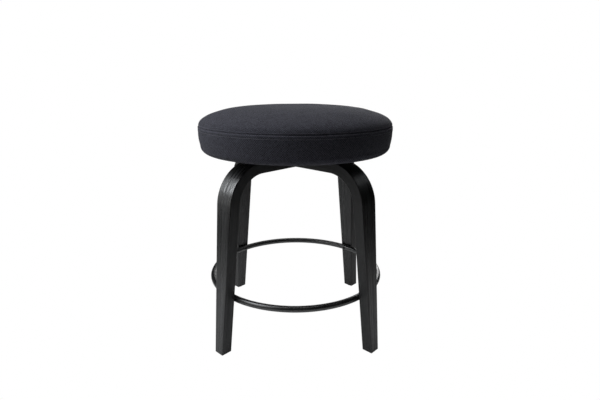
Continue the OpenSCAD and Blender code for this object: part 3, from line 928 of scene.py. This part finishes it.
def repeat_tree():
    """Sets one small piece at even spaces along a path, its X along the path."""
    tree, given, made = tree_with("repeat along a path", Piece="Object", Spacing="Float", Finish="Material")
    add, join = tree.nodes.new, tree.links.new
    path = add("GeometryNodeMeshToCurve")
    steps = add("GeometryNodeResampleCurve")
    tangent = add("GeometryNodeInputTangent")
    turn = add("FunctionNodeAlignRotationToVector")
    piece = add("GeometryNodeObjectInfo")
    place = add("GeometryNodeInstanceOnPoints")
    real = add("GeometryNodeRealizeInstances")
    paint = add("GeometryNodeSetMaterial")
    steps.mode = "LENGTH"
    turn.axis = "X"
    join(given.outputs["Geometry"], path.inputs["Mesh"])
    join(path.outputs["Curve"], steps.inputs["Curve"])
    join(given.outputs["Spacing"], steps.inputs["Length"])
    join(given.outputs["Piece"], piece.inputs["Object"])
    join(tangent.outputs["Tangent"], turn.inputs["Vector"])
    join(steps.outputs["Curve"], place.inputs["Points"])
    join(piece.outputs["Geometry"], place.inputs["Instance"])
    join(turn.outputs["Rotation"], place.inputs["Rotation"])
    join(place.outputs["Instances"], real.inputs["Geometry"])
    join(real.outputs["Geometry"], paint.inputs["Geometry"])
    join(given.outputs["Finish"], paint.inputs["Material"])
    join(paint.outputs["Geometry"], made.inputs["Geometry"])
    return tree


def path_mesh(points):
    mesh = bpy.data.meshes.new("path")
    mesh.from_pydata(points, [(i, (i + 1) % len(points)) for i in range(len(points))], [])
    return mesh


def stitch_mesh():
    """One stitch lying along X, plumpest in its middle and drawn in at its ends."""
    shape = bmesh.new()
    size = Matrix.Diagonal((STITCH_L / 2, THREAD_R, THREAD_R, 1))
    bmesh.ops.create_uvsphere(shape, u_segments=6, v_segments=5, radius=1,
                              matrix=size @ Matrix.Rotation(pi / 2, 4, "Y"))
    mesh = bpy.data.meshes.new("stitch")
    shape.to_mesh(mesh)
    shape.free()
    return mesh


def thread():
    made = Finish("grey sewing thread", Specular_IOR_Level=0.35)
    ply = made.node("ShaderNodeTexWave", {"bands_direction": "DIAGONAL"},
                    {"Vector": made.place(), "Scale": 520.0, "Distortion": 1.0}, out=1)
    made.wear(made.tint(ply, THREAD_DARK, THREAD_PALE), 0.55 + ply * 0.15, ply, depth=0.08 * MM)
    return made


def stitch_path():
    """The cushion's surface along the line of the topstitching."""
    mesh = cushion.data
    count = len(mesh.vertices)
    at, way = np.zeros(count * 3), np.zeros(count)
    mesh.vertices.foreach_get("co", at)
    mesh.attributes["below_seam"].data.foreach_get("value", way)
    near = abs(way - STITCH_WAY) < NEAR_STITCH
    x, y, z = at.reshape(-1, 3)[near].T
    turn, r, gap = np.arctan2(y, x), np.hypot(x, y), way[near] - STITCH_WAY
    path = []
    for i in range(PATH_STEPS):
        a = -pi + 2 * pi * i / PATH_STEPS
        off = (turn - a + pi) % (2 * pi) - pi
        weight = np.exp(-(off / NEAR_TURN) ** 2 - (gap / STITCH_W) ** 2)
        radius, height = (r * weight).sum() / weight.sum(), (z * weight).sum() / weight.sum()
        path.append((radius * cos(a), radius * sin(a), height))
    return path


sewing = thread()
one_stitch = piece_of("one_stitch", stitch_mesh(), sewing)
stitches = piece_of("topstitching", path_mesh(stitch_path()), sewing)
run_tree(stitches, repeat_tree(), Piece=one_stitch, Spacing=STITCH_PITCH, Finish=sewing.material)
bpy.data.objects.remove(one_stitch)
stitches.data.shade_smooth()
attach(stitches, "seat")


# Dust cover. A disc of thin black spunbonded cloth that hides the hem and the foam's laps, cut out round the
# swivel and stapled through the hem into the board every few centimetres. It hangs a little slack between.
DUST_R = 222 * MM
DUST_HOLE_R = 106.1 * MM
DUST_T = 0.8 * MM
DUST_DOWN = 0.45 * MM
DUST_SLACK = 1.3 * MM
UNEVEN = 0.25
SLACK_RUN = 40 * MM
EDGE_SAG = 0.35 * MM
DUST_RINGS = 20
DUST_AROUND = 216
DUST_DARK = (0.006, 0.006, 0.006)
DUST_PALE = (0.022, 0.022, 0.023)
STAPLES = 36
STAPLE_IN = 6 * MM
STAPLE_DOWN = 0.30 * MM
STAPLE_W = 10 * MM
STAPLE_WIRE = 1.0 * MM
STAPLE_LEG = 0.5 * MM
STAPLE_PATH_STEPS = 360


def dust_mesh():
    """The cloth's two sides, slack between the staples, joined along both edges."""
    points, faces = [], []
    for side in (0.0, -DUST_T):
        for k in range(DUST_RINGS + 1):
            r = DUST_HOLE_R + (DUST_R - DUST_HOLE_R) * k / DUST_RINGS
            free = max(0.0, min(1.0, (DUST_R - STAPLE_IN - r) / SLACK_RUN))
            for m in range(DUST_AROUND):
                a = 2 * pi * m / DUST_AROUND
                uneven = 1 - UNEVEN + UNEVEN * noise.noise(Vector((cos(a) * 3, sin(a) * 3, r * 22)))
                slack = DUST_SLACK * (1 - (1 - free) ** 2) * uneven
                edge = EDGE_SAG * (1 - free) * (0.5 - 0.5 * cos(a * STAPLES))
                points.append((r * cos(a), r * sin(a), UNDER_Z - DUST_DOWN - slack - edge + side))
    n, layer = DUST_AROUND, (DUST_RINGS + 1) * DUST_AROUND
    for k in range(DUST_RINGS):
        for m in range(n):
            a, b = k * n + m, k * n + (m + 1) % n
            faces.append((a, b, b + n, a + n))
            faces.append((layer + a, layer + a + n, layer + b + n, layer + b))
    for m in range(n):
        for k, flip in ((0, False), (DUST_RINGS, True)):
            a, b = k * n + m, k * n + (m + 1) % n
            faces.append((a, b, layer + b, layer + a) if flip else (b, a, layer + a, layer + b))
    mesh = bpy.data.meshes.new("dust cloth")
    mesh.from_pydata(points, [], faces)
    face_out(mesh)
    smooth(mesh)
    return mesh


def spunbonded():
    made = Finish("black spunbonded cloth", Specular_IOR_Level=0.25, Sheen_Weight=0.1)
    place = made.place()
    dots = made.node("ShaderNodeTexVoronoi", {"feature": "F1"},
                     {"Vector": place, "Scale": 620.0, "Randomness": 0.15})
    pressed_in = made.ramp(dots, 0.18, 0.38)
    fibres = made.grain(place, 900.0, detail=4.0, rough=0.7)
    colour = made.tint(pressed_in * (0.4 + fibres * 0.6), DUST_DARK, DUST_PALE)
    rough = 0.78 - (1 - pressed_in) * 0.2
    made.wear(colour, rough, pressed_in * 0.7 + fibres * 0.3, depth=0.12 * MM)
    return made


def staple_mesh():
    """The crown of a staple along X, its short legs turned up into the cloth."""
    shape = bmesh.new()
    half, wire, top = STAPLE_W / 2, STAPLE_WIRE, STAPLE_LEG + STAPLE_WIRE
    path = [(-half, top), (-half, 0.4 * wire), (-half + 0.5 * wire, 0)]
    path += [(-x, z) for x, z in reversed(path)]
    section = ((1, -0.7), (1, 0.7), (0.6, 1), (-0.6, 1), (-1, 0.7), (-1, -0.7), (-0.6, -1), (0.6, -1))
    rings = []
    for i, (x, z) in enumerate(path):
        before, after = Vector(path[max(i - 1, 0)]), Vector(path[min(i + 1, len(path) - 1)])
        along = (after - before).normalized()
        out = Vector((along.y, -along.x))
        rings.append([shape.verts.new((x + out.x * t * wire / 3, w * wire / 2, z + out.y * t * wire / 3))
                      for t, w in section])
    for one, two in zip(rings, rings[1:]):
        for k in range(len(section)):
            after = (k + 1) % len(section)
            shape.faces.new((one[k], one[after], two[after], two[k]))
    shape.faces.new(rings[0])
    shape.faces.new(rings[-1])
    bmesh.ops.recalc_face_normals(shape, faces=shape.faces)
    mesh = bpy.data.meshes.new("staple")
    shape.to_mesh(mesh)
    shape.free()
    return mesh


dust = piece_of("dust_cloth", dust_mesh(), spunbonded())
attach(dust, "seat")
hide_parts("dust_cover")
one_staple = piece_of("one_staple", staple_mesh(), zinc)
staple_r, staple_z = DUST_R - STAPLE_IN, UNDER_Z - DUST_DOWN - DUST_T - STAPLE_DOWN
staple_turns = [2 * pi * i / STAPLE_PATH_STEPS for i in range(STAPLE_PATH_STEPS)]
staple_path = [(staple_r * cos(turn), staple_r * sin(turn), staple_z) for turn in staple_turns]
staples = piece_of("staples", path_mesh(staple_path), zinc)
run_tree(staples, repeat_tree(), Piece=one_staple, Spacing=2 * pi * staple_r / (STAPLES + 0.01),
         Finish=zinc.material)
bpy.data.objects.remove(one_staple)
smooth(staples.data)
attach(staples, "seat")


# Studio. A white floor and a white sky that throw little light themselves, soft lamps on the left, overhead
# and behind, hardly any on the right, and the camera a little above the seat, tipped down at it.
LAMPS_AIM = (0, 0, 0.35)
COOL = (0.94, 0.97, 1.0)
FLOOR_HALF = 30
FLOOR_PALE = (0.86, 0.86, 0.86)
FLOOR_DARK = (0.12, 0.12, 0.12)
FLOOR_GLOW = (0.07, 0.07, 0.07)
DARK_FROM_R = 0.5
DARK_BY_R = 1.3
SKY_LIGHT = 0.01
CAMERA_AT = (-17.42 * MM, -1176.0 * MM, 675.5 * MM)
CAMERA_DOWN = 0.2685
CAMERA_TURN = -0.0252
FOCAL_PIXELS = 438.35
IMAGE_W = 600


def floor_paint():
    """Paint that the camera sees as plain white, and that throws light up only near the stool."""
    paint = Finish("white floor", Roughness=0.9, Emission_Strength=1.0)
    x, y, _ = paint.parts(paint.place())
    far = paint.ramp((x * x + y * y) ** 0.5, DARK_FROM_R, DARK_BY_R)
    paint.feed(paint.coat.inputs["Base Color"], paint.tint(far, FLOOR_PALE, FLOOR_DARK))
    paint.feed(paint.coat.inputs["Emission Color"], paint.tint(far, FLOOR_GLOW, (0, 0, 0)))
    add, join = paint.tree.nodes.new, paint.tree.links.new
    white, pick = add("ShaderNodeEmission"), add("ShaderNodeMixShader")
    paint.feed(pick.inputs[0], paint.node("ShaderNodeLightPath"))
    join(paint.coat.outputs[0], pick.inputs[1])
    join(white.outputs[0], pick.inputs[2])
    join(pick.outputs[0], paint.tree.nodes["Material Output"].inputs[0])
    return paint


def white_sky(world):
    """A sky that the camera sees as plain white, and that hardly lights the stool."""
    world.use_nodes = True
    add, join = world.node_tree.nodes.new, world.node_tree.links.new
    seen, pick = add("ShaderNodeLightPath"), add("ShaderNodeMixShader")
    dim, white = add("ShaderNodeBackground"), add("ShaderNodeBackground")
    dim.inputs["Color"].default_value = (SKY_LIGHT, SKY_LIGHT, SKY_LIGHT, 1)
    white.inputs["Color"].default_value = (1, 1, 1, 1)
    join(seen.outputs["Is Camera Ray"], pick.inputs[0])
    join(dim.outputs[0], pick.inputs[1])
    join(white.outputs[0], pick.inputs[2])
    join(pick.outputs[0], world.node_tree.nodes["World Output"].inputs[0])


def soft_light(name, at, size, watts, colour=(1, 1, 1)):
    lamp = bpy.data.lights.new(name, "AREA")
    lamp.shape, lamp.energy, lamp.color = "RECTANGLE", watts, colour
    lamp.size, lamp.size_y = size
    made = bpy.data.objects.new(name, lamp)
    made.location = at
    made.rotation_euler = (Vector(LAMPS_AIM) - Vector(at)).to_track_quat("-Z", "Y").to_euler()
    bpy.context.scene.collection.objects.link(made)


floor_mesh = bpy.data.meshes.new("floor")
floor_corners = [(x * FLOOR_HALF, y * FLOOR_HALF, 0) for x, y in ((-1, -1), (1, -1), (1, 1), (-1, 1))]
floor_mesh.from_pydata(floor_corners, [], [(0, 1, 2, 3)])
piece_of("floor", floor_mesh, floor_paint())

scene = bpy.context.scene
scene.view_settings.view_transform = "Standard"
scene.world = bpy.data.worlds.new("studio")
white_sky(scene.world)

soft_light("high key", (-1.3, -0.5, 2.0), size=(1.0, 1.0), watts=19.5, colour=COOL)
soft_light("front left", (-1.53, -1.28, 1.2), size=(1.0, 1.0), watts=5.2)
soft_light("left", (-1.95, 0.1, 1.35), size=(0.6, 0.9), watts=13.5, colour=COOL)
soft_light("low left", (-2.0, 0.0, 0.5), size=(1.0, 0.8), watts=2.8)
soft_light("overhead", (0.0, 0.0, 2.3), size=(1.2, 1.2), watts=11)
soft_light("rear overhead", (0.0, 1.1, 2.0), size=(1.2, 1.2), watts=3.8)
soft_light("low rear", (0.2, 2.2, 0.5), size=(1.4, 0.8), watts=6)
soft_light("right rear", (0.95, 1.95, 0.9), size=(1.0, 0.8), watts=11)
soft_light("right", (1.75, 0.3, 1.75), size=(0.6, 0.6), watts=2.1, colour=COOL)

camera = bpy.data.objects.new("camera", bpy.data.cameras.new("camera"))
camera.data.sensor_width = 36
camera.data.lens = camera.data.sensor_width * FOCAL_PIXELS / IMAGE_W
camera.location = CAMERA_AT
camera.rotation_euler = (pi / 2 - CAMERA_DOWN, 0, CAMERA_TURN)
scene.collection.objects.link(camera)
scene.camera = camera
